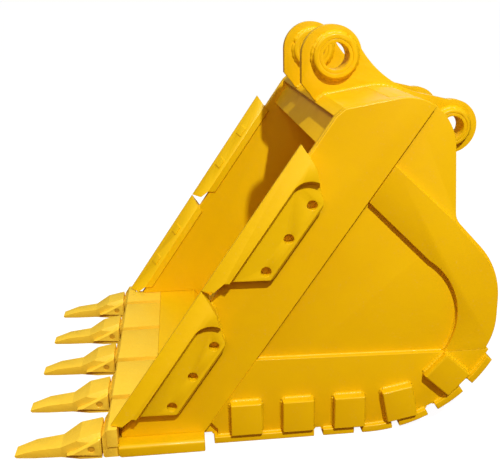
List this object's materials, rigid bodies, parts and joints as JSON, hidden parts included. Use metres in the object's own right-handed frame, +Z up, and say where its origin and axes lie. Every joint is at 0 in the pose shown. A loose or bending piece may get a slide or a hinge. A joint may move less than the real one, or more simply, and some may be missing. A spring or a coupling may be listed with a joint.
{
  "type": "excavator bucket",
  "caption": "Heavy-duty rock bucket with pinned teeth, side cutters, heel wear blocks, belly strips and two hinge ears with pin bores.",
  "frame": {"origin": "centre of the stick pin bore's axis, half way between the two ears", "axes": "+X along the stick pin bore, across the bucket; -Y the way the teeth point; +Z up with the wear strips flat on the ground"},
  "size_m": [1.26, 1.627, 1.321],
  "materials": {
    "plate_paint": "gloss yellow enamel on welded plate",
    "cast_paint": "light yellow enamel on castings",
    "pin_paint": "yellow enamel on steel pins"
  },
  "bodies": {
    "bucket": {"adapter_1": "cast_paint", "adapter_2": "cast_paint", "adapter_3": "cast_paint", "adapter_4": "cast_paint", "adapter_5": "cast_paint", "belly_strip_1": "plate_paint", "belly_strip_2": "plate_paint", "belly_strip_3": "plate_paint", "belly_strip_4": "plate_paint", "belly_strip_5": "plate_paint", "belly_strip_6": "plate_paint", "floor_side_wear_plate_left": "plate_paint", "floor_side_wear_plate_right": "plate_paint", "heel_blocks_left": "plate_paint", "heel_blocks_right": "plate_paint", "heel_side_wear_plate_left": "plate_paint", "heel_side_wear_plate_right": "plate_paint", "hinge_ear_left": "plate_paint", "hinge_ear_right": "plate_paint", "link_pin_boss_left": "plate_paint", "link_pin_boss_right": "plate_paint", "link_pin_bush_left": "plate_paint", "link_pin_bush_right": "plate_paint", "lip_end_guard_left": "plate_paint", "lip_end_guard_right": "plate_paint", "lip_plate": "plate_paint", "pin_retainers": "pin_paint", "side_bar_left": "plate_paint", "side_bar_right": "plate_paint", "side_cutter_lower_left": "plate_paint", "side_cutter_lower_right": "plate_paint", "side_cutter_upper_left": "plate_paint", "side_cutter_upper_right": "plate_paint", "side_plate_left": "plate_paint", "side_plate_right": "plate_paint", "stick_pin_boss_left": "plate_paint", "stick_pin_boss_right": "plate_paint", "stick_pin_bush_left": "plate_paint", "stick_pin_bush_right": "plate_paint", "tooth_1": "cast_paint", "tooth_2": "cast_paint", "tooth_3": "cast_paint", "tooth_4": "cast_paint", "tooth_5": "cast_paint", "top_plate": "plate_paint", "tube_floor_plate": "plate_paint", "tube_front_plate": "plate_paint", "tube_rib_left": "plate_paint", "tube_rib_right": "plate_paint", "wrapper": "plate_paint"},
    "pin_1": {"tooth_pin_1": "pin_paint"},
    "pin_2": {"tooth_pin_2": "pin_paint"},
    "pin_3": {"tooth_pin_3": "pin_paint"},
    "pin_4": {"tooth_pin_4": "pin_paint"},
    "pin_5": {"tooth_pin_5": "pin_paint"}
  },
  "joints": [
    {"name": "tooth_pin_1_slide", "type": "slide", "parent": "bucket", "child": "pin_1", "axis": [1, 0, 0], "range_m": [0, 0.135]},
    {"name": "tooth_pin_2_slide", "type": "slide", "parent": "bucket", "child": "pin_2", "axis": [1, 0, 0], "range_m": [0, 0.135]},
    {"name": "tooth_pin_3_slide", "type": "slide", "parent": "bucket", "child": "pin_3", "axis": [1, 0, 0], "range_m": [0, 0.135]},
    {"name": "tooth_pin_4_slide", "type": "slide", "parent": "bucket", "child": "pin_4", "axis": [1, 0, 0], "range_m": [0, 0.135]},
    {"name": "tooth_pin_5_slide", "type": "slide", "parent": "bucket", "child": "pin_5", "axis": [1, 0, 0], "range_m": [0, 0.135]}
  ]
}
